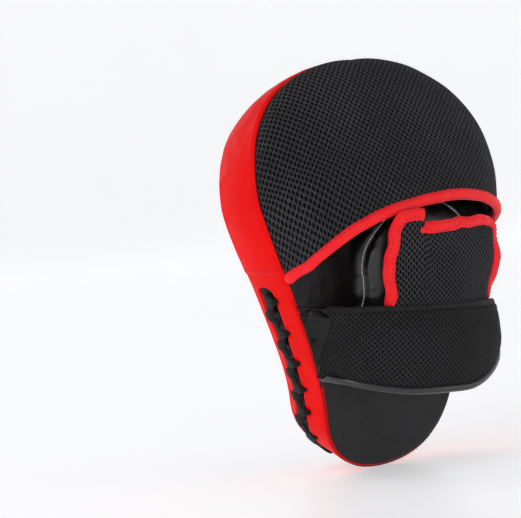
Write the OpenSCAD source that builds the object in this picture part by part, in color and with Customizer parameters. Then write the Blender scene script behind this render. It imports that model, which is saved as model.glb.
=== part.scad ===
// Curved boxing focus mitt for the right hand: a laced, foam-filled pear-shaped pad with a mesh
// finger hood, a palm ball, a padded wrist strap and a flap over the back of the hand.
// +Z points to the fingertips, -Y out of the striking face, +X to the thumb side.
// Origin: centre of the pad's back surface, where the middle of the palm rests.

/* [Pad] */
// Length of the back surface from tail to crown, measured along its curve
pad_length = 273; // [250:0.5:300]
// Half width of the pad at its widest
pad_half_w = 96.3; // [86:0.1:106]
// Half width where the flank meets the rounded tail
tail_half_w = 52; // [46:1:58]
// Thickness of the pad at its edge, from the back seam to the front seam
pad_thick = 41; // [38:1:46]
// Radius of the curve of the back surface
back_radius = 340; // [320:5:420]
// Height of the crowned striking face above its seam
face_dome = 8; // [5:1:11]
// Outward bulge of the side gusset between its two seams
gusset_bulge = 3; // [2:0.5:4]

/* [Skins] */
// Thickness of the leather-like covers
skin = 1.2; // [1:0.1:1.5]
// Clear gap left between neighbouring layers
gap = 0.3; // [0.3:0.05:0.5]

/* [Target] */
// Outer radius of the printed ring
ring_r_out = 37; // [34:1:40]
// Inner radius of the printed ring
ring_r_in = 26.8; // [25:0.2:29]
// Radius of the printed centre disc
disc_r = 16.8; // [14:0.2:19]
// Height of the target's centre above the middle of the pad, along the curve
target_s = 30; // [24:1:36]

/* [Lacing] */
// Radius of the lace
lace_r = 2.2; // [1.8:0.1:2.4]
// Distance of the rear lip's eyelets from the back seam
rear_holes = 16.5; // [15:0.5:17]
// Distance of the front lip's eyelets from the back seam
front_holes = 30.5; // [30:0.5:32]
// Number of lace crossings
crossings = 18; // [15:1:19]

/* [Hood] */
// Height of the hood over the palm surface at its mouth
hood_height = 36; // [33:1:39]
// Thickness of the outer mesh
mesh_t = 2; // [1.6:0.1:2.4]
// Thickness of the hood's foam
hood_foam_t = 3.4; // [2.6:0.2:4]
// Radius of the rounded binding tape
binding_r = 3.2; // [2.8:0.1:3.4]

/* [Palm ball] */
// Radius of the ball across the palm
ball_r = 45; // [40:1:46]
// Height of the ball above the palm surface
ball_depth = 29; // [25:1:30]
// Sideways place of the ball
ball_x = -15; // [-20:1:-12]

/* [Wrist strap] */
// Half width of the strap's arch, to the middle of its thickness
arch_a = 64; // [63:0.5:66]
// Height of the strap's arch, to the middle of its thickness
arch_b = 42; // [40:0.5:44]
// Height of the strap along the forearm
strap_h = 55; // [48:1:58]
// Full thickness of the padded strap
strap_t = 8; // [7.6:0.1:8.4]

/* [Hidden] */

black = [0.13, 0.13, 0.13];
mesh_grey = [0.2, 0.2, 0.21];
red = [0.92, 0.14, 0.15];
white = [0.95, 0.95, 0.95];
foam_grey = [0.35, 0.36, 0.38];

mid_s = pad_length / 2;
tail_s = 44.5;        // where the rounded tail ends
widest_s = 188;       // where the pad is widest
tail_q = 0.2;         // outline parameter at the end of the tail
widest_q = 0.62;      // outline parameter at the widest place
seam_q = 0.466;       // outline parameter of the gusset's cross seams
lace_end_q = -0.11;   // the lacing ends just past the tail's tip
end_trim = 0.03;      // plates stop this short of the outline's two poles

// ---- curves and surfaces ----

function mix(a, b, t) = a + (b - a) * t;
function clamp01(t) = min(1, max(0, t));
function smooth(t) = let (c = clamp01(t)) c * c * (3 - 2 * c);
function unit(v) = v / norm(v);
function bezier(a, b, c, d, t) =
    a * pow(1 - t, 3) + b * 3 * t * pow(1 - t, 2) + c * 3 * t * t * (1 - t) + d * pow(t, 3);
function steps(a, b, n) = [for (i = [0 : n]) mix(a, b, i / n)];

// Half outline [half width, distance from the tail] for q from 0 at the tail to 1 at the crown
function half_outline(q) =
    q < tail_q ? bezier([0, 0], [33, 0], [tail_half_w - 4.5, 19], [tail_half_w, tail_s], q / tail_q)
    : q < widest_q ? bezier([tail_half_w, tail_s], [tail_half_w + 7.5, 80], [pad_half_w, 158],
                            [pad_half_w, widest_s], (q - tail_q) / (widest_q - tail_q))
    : bezier([pad_half_w, widest_s], [pad_half_w, 240], [57, pad_length], [0, pad_length],
             (q - widest_q) / (1 - widest_q));

// The whole outline for p from -1 to 2: thumb side 0..1, then the little-finger side 1..2
function outline(p) =
    let (q = p > 1 ? 2 - p : abs(p), e = half_outline(q))
    [(p > 1 || p < 0 ? -1 : 1) * e[0], e[1]];
function outline_normal(p) =
    let (d = outline(p + 0.004) - outline(p - 0.004)) unit([d[1], -d[0]]);

// A point at x across the pad, s along its curve and h above its back surface
function on_pad(x, s, h) =
    let (a = (s - mid_s) / back_radius * 180 / PI)
    [x, (back_radius + h) * cos(a) - back_radius, (back_radius + h) * sin(a)];

// A solid between two grids of points with the same rows and columns
module thick_sheet(top, bottom) {
    rows = len(top);
    cols = len(top[0]);
    n = rows * cols;
    points = concat([for (r = top) for (p = r) p], [for (r = bottom) for (p = r) p]);
    function at(r, c) = r * cols + c;
    skins = [for (r = [0 : rows - 2]) for (c = [0 : cols - 2])
             each [[at(r, c), at(r, c + 1), at(r + 1, c)],
                   [at(r, c + 1), at(r + 1, c + 1), at(r + 1, c)],
                   [n + at(r, c), n + at(r + 1, c), n + at(r, c + 1)],
                   [n + at(r, c + 1), n + at(r + 1, c), n + at(r + 1, c + 1)]]];
    loop = concat([for (c = [0 : cols - 1]) at(0, c)], [for (r = [1 : rows - 1]) at(r, cols - 1)],
                  [for (c = [cols - 2 : -1 : 0]) at(rows - 1, c)],
                  [for (r = [rows - 2 : -1 : 1]) at(r, 0)]);
    walls = [for (i = [0 : len(loop) - 1])
             let (a = loop[i], b = loop[(i + 1) % len(loop)])
             each [[a, n + a, b], [b, n + a, n + b]]];
    polyhedron(points, concat(skins, walls));
}

// A tube of the given radius along a path, with its own cap at each end
module tube(path, r, sides = 8) {
    last = len(path) - 1;
    function along(i) = unit(path[min(last, i + 1)] - path[max(0, i - 1)]);
    function side_of(i) = unit(cross(along(i), [0.13, 0.21, 0.97]));
    points = [for (i = [0 : last]) let (u = side_of(i), v = cross(along(i), u))
              for (k = [0 : sides - 1]) path[i] + r * (cos(k * 360 / sides) * u
                                                       + sin(k * 360 / sides) * v)];
    walls = [for (i = [0 : last - 1]) for (k = [0 : sides - 1])
             let (a = i * sides + k, b = i * sides + (k + 1) % sides)
             each [[a, a + sides, b], [b, a + sides, b + sides]]];
    polyhedron(points, concat(walls, [[for (k = [0 : sides - 1]) k]],
                              [[for (k = [sides - 1 : -1 : 0]) last * sides + k]]));
}

// ---- pad layers ----

function face_rise(u, s) = let (v = (s - mid_s) / mid_s) (1 - pow(abs(u), 2.5)) * (1 - pow(abs(v), 3));

// A layer of the pad: inset from the outline, between heights h_top and h_bottom, crowned by dome
module pad_layer(inset, h_top, h_bottom, dome_top = 0, dome_bottom = 0, columns = 1, rows = 24) {
    k = 1 - inset / mid_s;
    function row(q, h, dome) = let (e = half_outline(q), s = mid_s + (e[1] - mid_s) * k)
        [for (u = steps(-1, 1, columns)) on_pad(u * (e[0] - inset), s, h - dome * face_rise(u, s))];
    levels = steps(end_trim, 1 - end_trim, rows);
    thick_sheet([for (q = levels) row(q, h_top, dome_top)],
                [for (q = levels) row(q, h_bottom, dome_bottom)]);
}

front_h = -pad_thick;
core_h = -19.5;       // boundary between the firm core and the soft striking foam
backing_h = -9.5;     // boundary between the core and the backing foam
fill_inset = 6;       // foam stands back from the outline, behind the gusset and the lace tongue

module striking_face() {
    color(black) pad_layer(2, front_h + skin, front_h, face_dome, face_dome, 10, 26);
}
module strike_foam() {
    color(foam_grey) pad_layer(fill_inset, core_h - gap, front_h + skin + 4 * gap,
                               0, face_dome * 0.8, 6, 22);
}
module shock_core() { color(foam_grey) pad_layer(fill_inset, backing_h - gap, core_h); }
module backing_foam() { color(foam_grey) pad_layer(fill_inset, -skin - gap, backing_h); }
module back_panel() { color(black) pad_layer(2, 0, -skin); }

// ---- target ----

print_t = 0.3;

// A ring on the striking face between two radii, following the crowned surface
module printed_ring(r_in, r_out, turns = 40) {
    function lift(x, s) = let (w = pad_half_w - 2) front_h - face_dome * face_rise(x / w, s) - 2 * gap;
    function ring_point(a, r, t) = let (x = r * sin(a), s = mid_s + target_s + r * cos(a))
        on_pad(x, s, lift(x, s) - t);
    function circle_of(r, t) = [for (i = [0 : turns - 1]) ring_point(i * 360 / turns, r, t)];
    points = concat(circle_of(r_out, print_t), circle_of(r_in, print_t), circle_of(r_in, 0),
                    circle_of(r_out, 0));
    polyhedron(points, [for (c = [0 : 3]) for (i = [0 : turns - 1])
        let (d = (c + 1) % 4, j = (i + 1) % turns)
        each [[c * turns + i, c * turns + j, d * turns + i],
              [c * turns + j, d * turns + j, d * turns + i]]]);
}
module target_ring() { color(white) printed_ring(ring_r_in, ring_r_out); }
module target_disc() { color(white) printed_ring(0.5, disc_r, 32); }

// ---- gusset and lacing ----

function gusset_point(p, h, out) =
    let (e = outline(p), n = outline_normal(p), v = 2 * (-h) / pad_thick - 1,
         d = out + gusset_bulge * (1 - v * v) * smooth((e[1] - 4) / 30))
    on_pad(e[0] + n[0] * d, e[1] + n[1] * d, h);

// A band of gusset between outline parameters p1 and p2 and heights h1 and h2
module gusset_band(p1, p2, h1, h2, out, across, along) {
    function grid(o) = [for (p = steps(p1, p2, along)) [for (h = steps(h1, h2, across))
                                                         gusset_point(p, h, o)]];
    thick_sheet(grid(out), grid(out - skin));
}

seam_gap = 0.003;     // gap between gusset panels, as an outline parameter
lip_h = 2.5;          // distance from an eyelet to the edge of its lip

module gusset_upper() { color(red) gusset_band(seam_q, 2 - seam_q, 0, front_h, 0, 4, 34); }
module gusset_little_finger_side() {
    color(red) gusset_band(2 - seam_q + seam_gap, 2 + lace_end_q, 0, front_h, 0, 4, 16);
}
module gusset_rear_lip() {
    color(red) gusset_band(lace_end_q + seam_gap, seam_q - seam_gap, 0, -rear_holes - lip_h, 0, 3, 26);
}
module gusset_front_lip() {
    color(red) gusset_band(lace_end_q + seam_gap, seam_q - seam_gap, -front_holes + lip_h, front_h,
                           0, 3, 26);
}
module lace_tongue() {
    color(black) gusset_band(lace_end_q + 2 * seam_gap, seam_q - 2 * seam_gap, -rear_holes + 1,
                             -front_holes - 1, -skin - gap, 2, 26);
}

lace_top_q = 0.418;   // outline parameter of the lacing's first eyelet
lace_dip = 1.2;       // how far a crossing sinks into the slit
lace_square = 0.6;    // how squarely the lace crosses the slit, from 0 to 1
lace_rings = 6;       // steps along each crossing

// The lace zigzags between the two rows of eyelets; t counts the crossings
function lace_point(t) =
    let (k = (t + lace_square * sin(360 * t) / (2 * PI)) / crossings, across = (1 - cos(180 * t)) / 2)
    gusset_point(mix(lace_top_q, lace_end_q + 0.02, k), -mix(rear_holes, front_holes, across),
                 lace_r + 3 * gap - lace_dip * pow(sin(180 * t), 2));
module lace() {
    color(black) tube([for (i = [0 : crossings * lace_rings]) lace_point(i / lace_rings)], lace_r);
}

// ---- finger hood ----

mouth_q_thumb = 0.452;  // the mouth's thumb-side end on the outline
mouth_q_little = 0.515; // the mouth's little-finger end on the outline
mouth_arch = 28.5;      // rise of the mouth's edge between its two ends
mouth_lean = 3.5;       // how much less it rises towards its little-finger end
hood_top_j = 0.965;     // the hood's rows stop this short of the crown's pole

// Where a row of the hood meets the back seam, inset from the outline
function hood_end(j, q0, inset) =
    let (q = mix(q0, 1, 1 - pow(1 - j, 1.5))) outline(q) - outline_normal(q) * inset;

// A point of the hood for u from -1 at the little-finger side to 1 at the thumb side, and j from 0 at
// the mouth to 1 at the crown, shrunk inwards by inner
function hood_point(u, j, inner) =
    let (thumb = hood_end(j, mouth_q_thumb, 1 + inner), little = hood_end(j, mouth_q_little, 1 + inner),
         k = (u + 1) / 2, w = mix(little[0], thumb[0], k),
         rise_at_mouth = mouth_arch - mouth_lean * (1 - u) / 2,
         arch = rise_at_mouth * pow(max(0, 1 - pow(abs(u), 2.5)), 0.65) * pow(1 - j, 1.6),
         s = mix(little[1], thumb[1], k) + arch,
         rise = pow(max(0, 1 - pow(abs(u), 3)), 0.55) * pow(1 - j, 1.35),
         h = gap + max(0, hood_height * rise - inner * smooth(rise * 3)))
    on_pad(u * w, s, h);

// A layer of the hood between depths t1 and t2 under its outer surface
module hood_layer(t1, t2, columns = 16, rows = 14) {
    function grid(t) = [for (j = steps(0, hood_top_j, rows)) [for (i = [0 : columns])
                        hood_point(sin(90 * mix(-1, 1, i / columns)), j, t)]];
    thick_sheet(grid(t1), grid(t2));
}

lining_t = mesh_t + hood_foam_t + 2 * gap;
module finger_hood() { color(mesh_grey) hood_layer(0, mesh_t); }
module hood_foam() { color(foam_grey) hood_layer(mesh_t + gap, mesh_t + gap + hood_foam_t); }
module hood_lining() { color(black) hood_layer(lining_t, lining_t + 1); }
module hood_binding() {
    function rim(u) = hood_point(u, 0, mesh_t);
    function edge(u) = rim(u) + (binding_r + gap) * unit(cross([0, 1, 0], rim(u + 0.01) - rim(u - 0.01)))
        + [0, binding_r * (1 - smooth(2 - 2 * abs(u))), 0];
    color(red) tube([for (i = [0 : 30]) edge(sin(90 * mix(-0.95, 0.96, i / 30)))], binding_r);
}

// ---- palm ball ----

ball_z = 2;
stitch_r = 0.5;

// A half ellipsoid standing on the palm surface, with the given radius and height
module ball_solid(r, depth) {
    translate([ball_x, 0, ball_z]) rotate([-90, 0, 0])
        rotate_extrude($fn = 72) polygon(concat([[0, -6], [r, -6]],
            [for (a = [0 : 6 : 84]) [r * cos(a), depth * sin(a)]], [[0, depth]]));
}
module above_palm(clear) {
    difference() {
        children();
        translate([0, -back_radius, 0]) rotate([0, 90, 0])
            cylinder(h = 3 * pad_half_w, r = back_radius + clear, center = true, $fn = 360);
    }
}
module palm_ball_cover() {
    color(black) above_palm(gap) difference() {
        ball_solid(ball_r, ball_depth);
        ball_solid(ball_r - skin, ball_depth - skin);
    }
}
module palm_ball_foam() {
    color(foam_grey) above_palm(gap) ball_solid(ball_r - skin - gap, ball_depth - skin - gap);
}

// Two gore seams run over the ball, closing together towards the fingers
module palm_ball_stitching() {
    function seam(side, t) =
        let (z = mix(-0.55, 0.8, t), x = side * 0.83 * sqrt(1 - pow(max(0, z), 2.6)),
             y = sqrt(max(0, 1 - z * z - min(x * x, 0.97 - z * z))),
             lift = 1 + (stitch_r + gap) / ball_depth)
        [ball_x + ball_r * x * lift, ball_depth * y * lift, ball_z + ball_r * z * lift];
    color(white) for (side = [-1, 1]) tube([for (t = steps(0, 1, 14)) seam(side, t)], stitch_r, 6);
}

// ---- wrist strap ----

arch_x = -7;            // centre of the strap's arch
strap_top_z = -22;      // top edge of the strap at its thumb-side end
strap_drop = 8;         // how much lower the top edge lies at the free end
root_narrow = 9;        // how much narrower the sewn end is, taken off its bottom edge
tip_narrow = 20;        // how much the bottom edge rises towards the free end
strap_start = 5;        // arch angle of the sewn end
strap_end = 154;        // arch angle of the free end
root_t = 3;             // thickness at the sewn end
corner_r = 9;           // size of the free end's rounded corners, as millimetres and degrees alike

function arch(a, off) = [arch_x + (arch_a + off) * cos(a), (arch_b + off) * sin(a)];
function strap_top(a) = strap_top_z - strap_drop * (1 - cos(a)) / 2;
function strap_bottom(a) =
    strap_top(a) - strap_h + root_narrow * (1 - smooth(a / 75)) + tip_narrow * smooth((a - 100) / 62);
// Arch angles from a1 to a2, closer together along the rounded corners
function arch_steps(a1, a2, n) =
    concat(steps(a1, a2 - corner_r, n), [for (k = [3 : -1 : 0]) a2 - corner_r * k / 4]);
// Fraction of the full thickness at arch angle a
function plump(a) = mix(root_t / strap_t, 1, smooth((a - strap_start) / 22));
// How far the rounded corners of a free end at arch angle a2 draw in at arch angle a
function corner(a, a2) = corner_r * pow(clamp01((a - a2 + corner_r) / corner_r), 2);

// A point at fraction v of the strap's height, offset t from the middle of its thickness
function strap_point(a, v, t, trim, a2) =
    let (e = arch(a, t * plump(a)), edge = trim + corner(a, a2))
    [e[0], e[1], mix(strap_bottom(a) + edge, strap_top(a) - edge, v)];

// A layer of the strap between offsets t1 and t2 from the middle of its thickness
module strap_layer(t1, t2, a1 = strap_start, a2 = strap_end - 4, trim = 5, columns = 20) {
    function grid(t) = [for (v = steps(0, 1, 3)) [for (a = arch_steps(a1, a2, columns))
                                                  strap_point(a, v, t, trim, a2)]];
    thick_sheet(grid(t1), grid(t2));
}

half_t = strap_t / 2;
cover_t = 1.6;
edge_r = 2.2;

module wrist_strap() { color(mesh_grey) strap_layer(half_t - cover_t, half_t); }
module strap_foam() { color(foam_grey) strap_layer(skin - half_t + gap, half_t - cover_t - gap); }
module strap_backing() { color(black) strap_layer(-half_t, skin - half_t); }
module strap_edge(v) {
    color(black) tube([for (a = arch_steps(strap_start + 2, strap_end, 20))
                       strap_point(a, v, 0, edge_r, strap_end)], edge_r);
}
module strap_top_binding() { strap_edge(1); }
module strap_bottom_piping() { strap_edge(0); }

tape_t = 1;
hook_from = 128;
module hook_tape() {
    color(black) strap_layer(-half_t - gap - tape_t, -half_t - gap, hook_from, strap_end - 5, 8, 4);
}

// The loop tab rises from the little-finger seam and ends under the free end of the strap
tab_off = -half_t - 2 * gap - 2 * tape_t - gap;
tab_t = 2;
tab_end = 124;
tab_root = 182;
tab_half = 14;

function tab_point(a, z, off) =
    let (edge = half_outline(mix(0.23, 0.37, clamp01((z + 82) / 50)))[0], c = arch(a, off),
         root = [4 - edge - (off - tab_off), sqrt(pow(back_radius + 2 * gap, 2) - z * z) - back_radius],
         k = smooth((tab_root - a) / 14))
    [mix(root[0], c[0], k), mix(root[1], c[1], k), z];
module tab_layer(t1, t2, a1, a2, half, columns) {
    middle = (strap_top(strap_end) + strap_bottom(strap_end)) / 2;
    function grid(t) = [for (v = [-1, 0, 1]) [for (a = steps(a1, a2, columns))
                        tab_point(a, middle + v * half, t)]];
    thick_sheet(grid(t2), grid(t1));
}
module loop_tab() { color(black) tab_layer(tab_off - tab_t, tab_off, tab_root, tab_end, tab_half, 14); }
module loop_tape() {
    color(black) tab_layer(tab_off + gap / 2, tab_off + gap / 2 + tape_t, 160, tab_end + 2,
                           tab_half - 3, 8);
}

// A leather-like panel rises from the thumb-side seam to the sewn end of the strap
anchor_t = 1.6;
module strap_anchor() {
    root = arch(strap_start, 0);
    function row(q, h) = let (e = half_outline(q), seam = on_pad(e[0] - 2, e[1], h + gap))
        [seam, [root[0] - 1.5, root[1] - 2 * gap - anchor_t + h, seam[2]]];
    function side(h) = [for (q = steps(0.265, 0.385, 6)) row(q, h)];
    color(black) thick_sheet(side(0), side(anchor_t));
}

// ---- back-of-hand flap ----

flap_x1 = 29;           // thumb-side edge
flap_flare = 4;         // how much wider the flap is at its sewn edge, on the thumb side
flap_x2 = -62;          // little-finger edge
flap_y = 44;            // height of the flap over the palm
flap_lift = 5;          // the flap starts this high above the strap's top edge

// Top edge of the flap: a raised thumb-side tab, a notch, then a long low edge
function flap_top(x) =
    x > 7 ? 35 - 14 * pow(clamp01((x - 17) / 12), 2)
    : mix(mix(26, 27, smooth(-x / 24)), 35, smooth((x - 2) / 5))
      - 9 * pow(clamp01((-x - 50) / 12), 2);
function flap_foot(x) = strap_top(acos((x - arch_x) / arch_a)) + flap_lift;
function arch_y(x) = arch_b * sqrt(1 - pow((x - arch_x) / arch_a, 2));
function flap_crown(x) = flap_y - (x < -17 ? 0.0055 : 0.004) * pow(x + 17, 2);
function flap_surface(x, z, t) =
    [x, t + mix(arch_y(x), flap_crown(x), smooth((z - flap_foot(x)) / 30)), z];

// Where the flare moves a point of the flap that would lie at x
function flared(x, z) = x + flap_flare * clamp01(x / flap_x1)
                              * (1 - smooth(z / 16)) * mix(0.6, 1, smooth((z + 26) / 22));

module flap_layer(t1, t2, trim, columns = 22, rows = 5) {
    xs = steps(flap_x2 + trim, flap_x1 - trim, columns);
    function point(x, z, t) = flap_surface(flared(x, z), z, t);
    function grid(t) = [for (v = steps(0, 1, rows)) [for (x = xs)
                        point(x, mix(flap_foot(flared(x, -25)), flap_top(x) - trim, v), t)]];
    thick_sheet(grid(t2), grid(t1));
}
flap_trim = 6.2;

module hand_flap() { color(mesh_grey) flap_layer(1, 2.6, flap_trim); }
module flap_foam() { color(foam_grey) flap_layer(-1.6, 0.7, flap_trim); }
module flap_lining() { color(black) flap_layer(-2.6, -1.9, flap_trim); }

binding_in = binding_r - 0.8;
module flap_binding_thumb_side() {
    foot = flap_foot(flap_x1 + flap_flare);
    rise = [for (z = steps(foot, 20, 8)) flap_surface(flared(flap_x1, z) - binding_in, z, 0)];
    over = [for (x = steps(flap_x1 - 3.5, 9, 6)) flap_surface(x, flap_top(x) - binding_in, 0)];
    color(red) tube(concat(rise, over), binding_in);
}
module flap_binding_top() {
    over = [for (x = steps(2, flap_x2 + 3.5, 14)) flap_surface(x, flap_top(x) - binding_in, 0)];
    fall = [for (z = steps(12, flap_foot(flap_x2), 6)) flap_surface(flap_x2 + binding_in, z, 0)];
    color(red) tube(concat(over, fall), binding_in);
}

striking_face();
target_ring();
target_disc();
strike_foam();
shock_core();
backing_foam();
back_panel();
gusset_upper();
gusset_little_finger_side();
gusset_rear_lip();
gusset_front_lip();
lace_tongue();
lace();
finger_hood();
hood_foam();
hood_lining();
hood_binding();
palm_ball_cover();
palm_ball_foam();
palm_ball_stitching();
strap_anchor();
loop_tab();
loop_tape();
wrist_strap();
strap_foam();
strap_backing();
strap_top_binding();
strap_bottom_piping();
hook_tape();
hand_flap();
flap_foam();
flap_lining();
flap_binding_thumb_side();
flap_binding_top();
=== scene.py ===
"""A curved boxing focus mitt for the right hand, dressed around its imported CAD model.

Lengths are in millimetres and in the CAD model's own frame, as in the part's source: +Z to the
fingertips, -Y out of the striking face, +X to the thumb side. Shape.make() turns them into metres.
"""
import math

import bpy
import numpy as np
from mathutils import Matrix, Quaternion, Vector, noise
from mathutils.bvhtree import BVHTree


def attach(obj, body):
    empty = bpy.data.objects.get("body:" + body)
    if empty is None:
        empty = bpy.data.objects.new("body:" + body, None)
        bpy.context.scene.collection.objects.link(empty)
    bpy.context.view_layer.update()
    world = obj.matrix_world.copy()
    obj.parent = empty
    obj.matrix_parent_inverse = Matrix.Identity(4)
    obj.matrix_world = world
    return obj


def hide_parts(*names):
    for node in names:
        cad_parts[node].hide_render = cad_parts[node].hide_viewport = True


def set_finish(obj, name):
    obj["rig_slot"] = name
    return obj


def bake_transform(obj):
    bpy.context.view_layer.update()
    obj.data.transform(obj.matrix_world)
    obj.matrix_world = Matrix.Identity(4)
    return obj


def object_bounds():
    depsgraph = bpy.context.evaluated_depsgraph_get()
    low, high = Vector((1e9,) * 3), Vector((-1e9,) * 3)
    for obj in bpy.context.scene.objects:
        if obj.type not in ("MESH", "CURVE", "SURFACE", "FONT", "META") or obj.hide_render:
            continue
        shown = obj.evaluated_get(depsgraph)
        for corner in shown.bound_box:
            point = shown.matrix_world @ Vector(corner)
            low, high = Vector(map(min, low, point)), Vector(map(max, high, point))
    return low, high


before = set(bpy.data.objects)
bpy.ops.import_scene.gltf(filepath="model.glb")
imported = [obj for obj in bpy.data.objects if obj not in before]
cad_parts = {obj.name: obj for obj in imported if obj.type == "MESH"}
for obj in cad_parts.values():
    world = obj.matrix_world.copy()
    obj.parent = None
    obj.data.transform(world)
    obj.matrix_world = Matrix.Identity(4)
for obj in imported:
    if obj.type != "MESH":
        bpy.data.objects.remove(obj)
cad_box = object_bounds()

MM = 0.001

# ---- driving dimensions, as in the CAD model ----

PAD_LENGTH = 273.0      # back surface from tail to crown, along its curve
PAD_W = 96.3            # half width at the widest place
TAIL_W = 52.0           # half width where the rounded tail ends
PAD_THICK = 41.0        # from the back seam to the front seam
BACK_R = 340.0          # radius of the back surface
FACE_DOME = 8.0         # crown of the striking face
GUSSET_BULGE = 3.0
MID_S = PAD_LENGTH / 2
TAIL_S, WIDE_S = 44.5, 188.0
TAIL_Q, WIDE_Q = 0.2, 0.62
CROSS_Q = 0.466         # outline parameter of the gusset's cross seams
LACE_END_Q = -0.11      # the lacing ends just past the tail's tip
SKIN = 1.2
GAP = 0.3

REAR_HOLES, FRONT_HOLES = 16.5, 30.5
LIP_EDGE = 2.5          # from an eyelet to the edge of its lip
SLIT_HALF = (FRONT_HOLES - REAR_HOLES) / 2 - LIP_EDGE
SLIT_TOP_Q = 0.441      # the slit closes in a round end here, below the cross seam
SLIT_WORN = 2.2         # how much further each side of the worn slit opens near its top
RUN_MM = 355.0          # length of half the outline
CROSSINGS = 18
LACE_R = 2.2
LACE_TOP_Q = 0.418

HOOD_HEIGHT = 36.0
MOUTH_ARCH, MOUTH_LEAN = 28.5, 3.5
MOUTH_Q_THUMB, MOUTH_Q_LITTLE = 0.452, 0.515
MESH_T = 2.0
HOOD_T = 7.0            # mesh, foam and lining together

BALL_X, BALL_Z = -15.0, 2.0
BALL_W, BALL_R, BALL_DEPTH = 48.0, 45.0, 29.0
GORE_HALF = 45.0        # half width of the ball's middle gore, below its taper

ARCH_X, ARCH_A, ARCH_B = -7.0, 64.0, 42.0
ARCH_SWELL = 2.6        # how much fuller the worn strap is on the little-finger side
STRAP_TOP_Z, STRAP_DROP, STRAP_H = -22.0, 8.0, 55.0
ROOT_NARROW, TIP_NARROW = 9.0, 20.0
STRAP_START, STRAP_END = 5.0, 154.0
STRAP_T, ROOT_T = 8.0, 3.0
CORNER_R = 9.0
EDGE_TRIM = 1.8         # the strap's cloth stops this far short of its taped edges
ROOT_LEAN = 4.5         # how far the sewn end's lower corner leans to the thumb side
TAB_OFF, TAB_T, TAB_END, TAB_ROOT, TAB_HALF = -6.9, 2.0, 124.0, 182.0, 14.0
TAPE_T = 1.0
FINE = 1.22             # how much finer the strap's and flap's mesh is than the hood's
HOOK_FROM = 128.0

FLAP_X1, FLAP_X2, FLAP_FLARE = 29.0, -62.0, 4.0
FLAP_Y, FLAP_LIFT = 44.0, 5.0
FLAP_MID = -17.0        # where the flap stands highest off the hand

TARGET_S = 30.0
RING_OUT, RING_IN, DISC_R = 37.0, 26.8, 16.8

CLOTH_FRAMES = 20
FLAT_END, SWEEP_END, SWEEP_RISE = 3000, 5200, 2600      # where the floor turns up into a sweep


# ---- small mathematics ----

def mix(a, b, t):
    return a + (b - a) * t


def smooth(t):
    c = np.clip(t, 0, 1)
    return c * c * (3 - 2 * c)


def unit(v):
    return v / np.maximum(np.linalg.norm(v, axis=-1, keepdims=True), 1e-9)


def bump_at(t, centre, width):
    """A smooth bump of height 1 at centre that is gone at width from it."""
    return 1 - smooth(np.abs(t - centre) / width)


def row(a, b, count):
    return np.linspace(a, b, count)[None]


def column(a, b, count):
    return np.linspace(a, b, count)[:, None]


def round_turn(count):
    """The angles of count even steps round a circle."""
    return np.arange(count) * 2 * math.pi / count


def run_along(path):
    """How far along a path each of its points lies."""
    return np.concatenate([[0], np.cumsum(np.linalg.norm(np.diff(path, axis=0), axis=1))])


def relaxed(path, times):
    """A path with its corners rounded, by averaging each point with its neighbours."""
    for _ in range(times):
        path[1:-1] = (path[:-2] + 2 * path[1:-1] + path[2:]) / 4
    return path


def turned(vectors, axis, sign):
    """Vectors that all point to the side of axis that sign says."""
    return np.where((vectors[:, axis] * sign < 0)[:, None], -vectors, vectors)


def bezier(a, b, c, d, t):
    t = np.clip(t, 0, 1)[..., None]
    a, b, c, d = (np.array(p, float) for p in (a, b, c, d))
    return a * (1 - t) ** 3 + 3 * b * t * (1 - t) ** 2 + 3 * c * t * t * (1 - t) + d * t ** 3


def rough(points, size, seed):
    """Smooth noise between about -1 and 1 at points, with features of the given size in millimetres."""
    flat = points.reshape(-1, 3) / np.broadcast_to(size, (3,)) + seed * 7.31
    return np.array([noise.noise(Vector(p)) for p in flat]).reshape(points.shape[:-1])


# ---- the pad's own surfaces ----

def half_outline(q):
    """Half width and distance from the tail, for q from 0 at the tail to 1 at the crown."""
    q = np.clip(q, 0, 1)
    tail = bezier((0, 0), (33, 0), (TAIL_W - 4.5, 19), (TAIL_W, TAIL_S), q / TAIL_Q)
    flank = bezier((TAIL_W, TAIL_S), (TAIL_W + 7.5, 80), (PAD_W, 158), (PAD_W, WIDE_S),
                   (q - TAIL_Q) / (WIDE_Q - TAIL_Q))
    crown = bezier((PAD_W, WIDE_S), (PAD_W, 240), (57, PAD_LENGTH), (0, PAD_LENGTH),
                   (q - WIDE_Q) / (1 - WIDE_Q))
    part = q[..., None]
    return np.where(part < TAIL_Q, tail, np.where(part < WIDE_Q, flank, crown))


def outline(p):
    """The whole outline: thumb side for p from 0 to 1, little-finger side from 1 to 2."""
    p = (p + 1) % 2 - 1
    e = half_outline(np.abs(p))
    return np.stack([np.where(p < 0, -1, 1) * e[..., 0], e[..., 1]], -1)


def outline_normal(p):
    d = outline(p + 0.004) - outline(p - 0.004)
    return unit(np.stack([d[..., 1], -d[..., 0]], -1))


def on_pad(x, s, h):
    """The point at x across the pad, s along its curve and h above its back surface."""
    a = (s - MID_S) / BACK_R
    x, h = np.broadcast_arrays(x, h)
    return np.stack([x + 0 * a, (BACK_R + h) * np.cos(a) - BACK_R, (BACK_R + h) * np.sin(a)], -1)


def gusset_point(p, h, out):
    p, h, out = np.broadcast_arrays(p, h, out)
    e, n, v = outline(p), outline_normal(p), 2 * -h / PAD_THICK - 1
    d = out + GUSSET_BULGE * (1 - v * v) * smooth((e[..., 1] - 4) / 30)
    return on_pad(e[..., 0] + n[..., 0] * d, e[..., 1] + n[..., 1] * d, h)


def gusset_out(p):
    """The direction out of the gusset, as its outline has it."""
    n = outline_normal(p)
    return np.stack([n[..., 0], 0 * n[..., 0], n[..., 1]], -1)


# ---- shapes ----

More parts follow.
